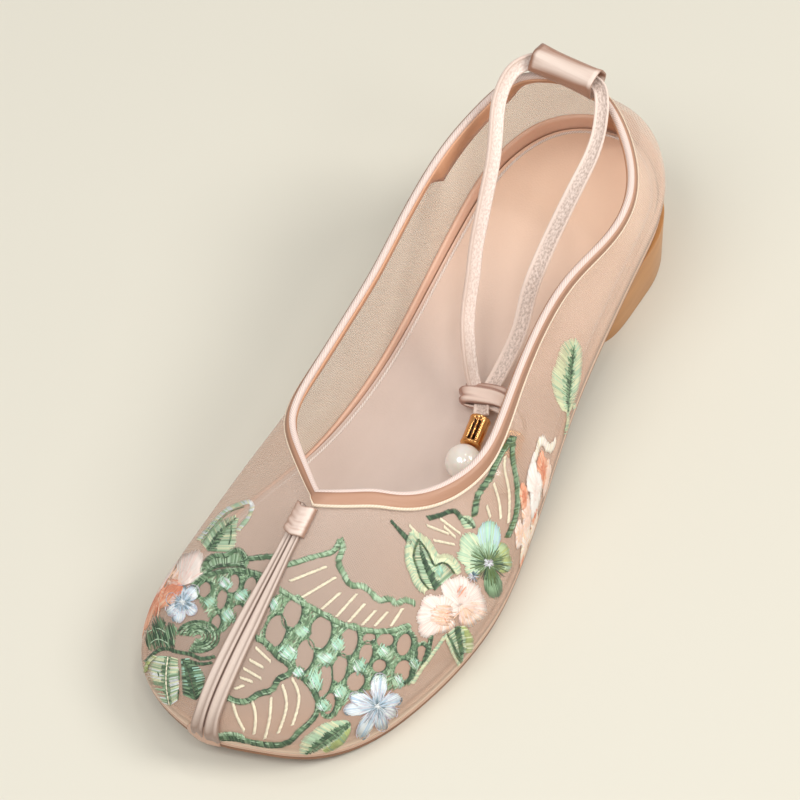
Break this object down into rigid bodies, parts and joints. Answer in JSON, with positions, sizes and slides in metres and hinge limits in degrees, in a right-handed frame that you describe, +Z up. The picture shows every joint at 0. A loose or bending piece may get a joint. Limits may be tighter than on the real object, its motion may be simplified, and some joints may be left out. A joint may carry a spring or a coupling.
{
  "type": "mesh sandal",
  "caption": "Closed-toe flat of sheer mesh with an open satin-bound collar, corded front seam, low block heel and a satin ankle tie that ends in pearl drops.",
  "frame": {"origin": "middle of the shoe's plan, on the floor", "axes": "+Z up, +Y along the shoe towards the heel, +X towards the outer side of the foot"},
  "size_m": [0.0868, 0.2434, 0.0785],
  "materials": {
    "mesh": "sheer",
    "satin": "satin",
    "lining": "matte",
    "footbed": "matte",
    "sole": "satin",
    "heel": "satin",
    "gold": "polished",
    "pearl": "gloss"
  },
  "bodies": {
    "root": {"outsole": "sole", "heel": "heel", "insole": "footbed", "upper": "mesh", "topline_binding": "satin", "vamp_cord_inner": "satin", "vamp_cord_outer": "satin", "throat_keeper": "satin", "heel_stay": "lining", "heel_tunnel": "satin", "tie_inner": "satin", "tie_outer": "satin", "tie_end": "satin", "tie_knot": "satin", "ferrule_1": "gold", "ferrule_2": "gold", "pearl_1": "pearl", "pearl_2": "pearl"}
  },
  "joints": []
}
